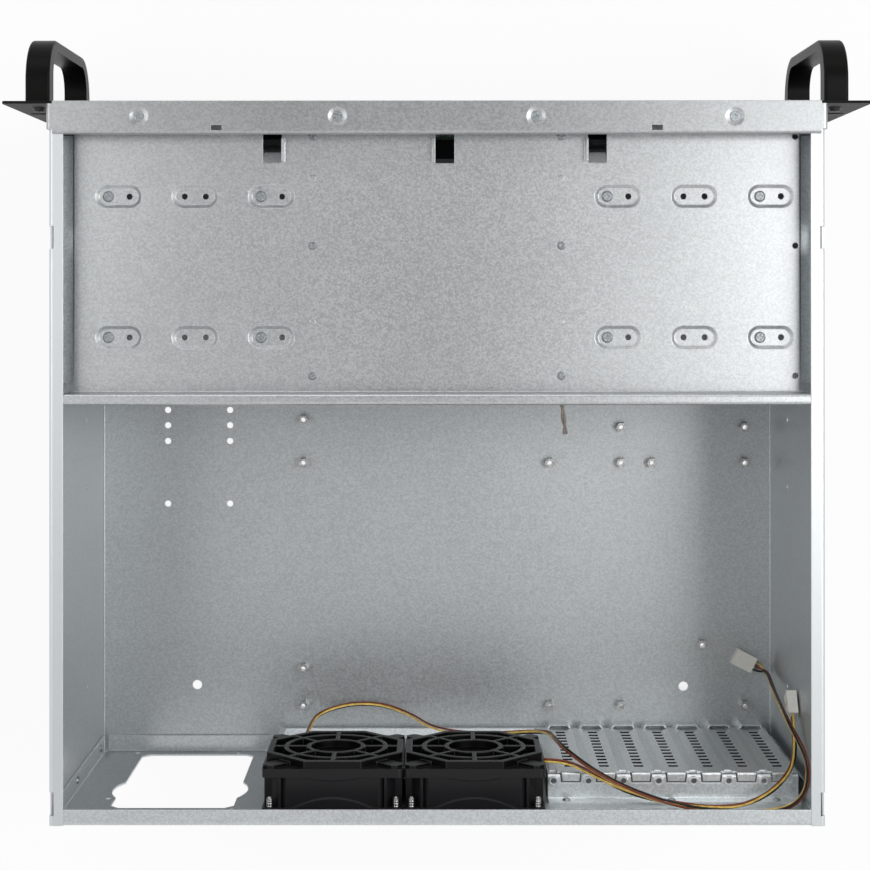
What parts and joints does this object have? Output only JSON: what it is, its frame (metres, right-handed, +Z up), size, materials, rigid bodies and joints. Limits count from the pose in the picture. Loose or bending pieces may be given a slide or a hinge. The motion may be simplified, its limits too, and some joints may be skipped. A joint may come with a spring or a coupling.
{
  "type": "empty rackmount server case",
  "caption": "Empty steel 4U rackmount server case without its lid: drive-bay cages, inset slot wall, rear fans, front handles and a wide open board bay.",
  "frame": {"origin": "middle of the base, on the surface that the case stands on", "axes": "+X to the right seen from the front, +Y from the handles to the rear wall, +Z up"},
  "size_m": [0.4826, 0.4404, 0.177],
  "materials": {
    "galvanized_steel": "spangled zinc coat, satin",
    "black_panel": "fine textured black paint",
    "black_plastic": "moulded, satin",
    "fan_plastic": "moulded, slightly glossy",
    "handle_paint": "satin black paint",
    "zinc_fastener": "bright zinc",
    "dark_fastener": "black oxide",
    "bright_tin": "tinned steel",
    "green_board": "solder mask",
    "clear_pipe": "clear acrylic",
    "button_plastic": "satin",
    "white_plastic": "natural nylon",
    "lead_insulation": "three thin insulated wires"
  },
  "bodies": {
    "case": {"chassis_pan": "galvanized_steel", "front_frame": "galvanized_steel", "front_top_strip": "galvanized_steel", "strip_screws": "zinc_fastener", "front_panel": "black_panel", "handle_right": "handle_paint", "handle_left": "handle_paint", "handle_screws": "dark_fastener", "front_board": "green_board", "board_posts": "zinc_fastener", "board_housing": "black_plastic", "usb_shells": "bright_tin", "usb_tongues": "black_plastic", "light_pipes": "clear_pipe", "board_switches": "black_plastic", "bay_top_plate": "galvanized_steel", "bay_screws": "zinc_fastener", "plate_screws": "zinc_fastener", "drive_cage_right": "galvanized_steel", "drive_cage_left": "galvanized_steel", "rear_panel": "galvanized_steel", "slot_frame": "galvanized_steel", "fan_screws": "zinc_fastener", "standoffs": "zinc_fastener", "rivets": "zinc_fastener", "fan_lead_1": "lead_insulation", "fan_lead_2": "lead_insulation", "connector_1": "white_plastic", "connector_2": "white_plastic", "bay_cover_1": "black_plastic", "bay_cover_2": "black_plastic", "bay_cover_3": "black_plastic", "bay_cover_4": "black_plastic", "bay_cover_5": "black_plastic", "bay_cover_6": "black_plastic", "slot_cover_1": "galvanized_steel", "slot_cover_2": "galvanized_steel", "slot_cover_3": "galvanized_steel", "slot_cover_4": "galvanized_steel", "slot_cover_5": "galvanized_steel", "slot_cover_6": "galvanized_steel", "slot_cover_7": "galvanized_steel", "fan_frame_1": "fan_plastic", "fan_guard_1": "black_plastic", "fan_frame_2": "fan_plastic", "fan_guard_2": "black_plastic"},
    "fan_1_rotor": {"fan_rotor_1": "fan_plastic"},
    "fan_2_rotor": {"fan_rotor_2": "fan_plastic"},
    "power_button": {"power_button": "button_plastic"},
    "reset_button": {"reset_button": "button_plastic"}
  },
  "joints": [
    {"name": "fan_1_spin", "type": "hinge", "parent": "case", "child": "fan_1_rotor", "pos_m": [0.0591, 0.20655, 0.114], "axis": [0, 1, 0], "continuous": true},
    {"name": "fan_2_spin", "type": "hinge", "parent": "case", "child": "fan_2_rotor", "pos_m": [-0.0213, 0.20655, 0.114], "axis": [0, 1, 0], "continuous": true},
    {"name": "power_press", "type": "slide", "parent": "case", "child": "power_button", "axis": [0, 1, 0], "range_m": [0, 0.001], "stiffness_N_per_m": 400},
    {"name": "reset_press", "type": "slide", "parent": "case", "child": "reset_button", "axis": [0, 1, 0], "range_m": [0, 0.001], "stiffness_N_per_m": 400}
  ]
}
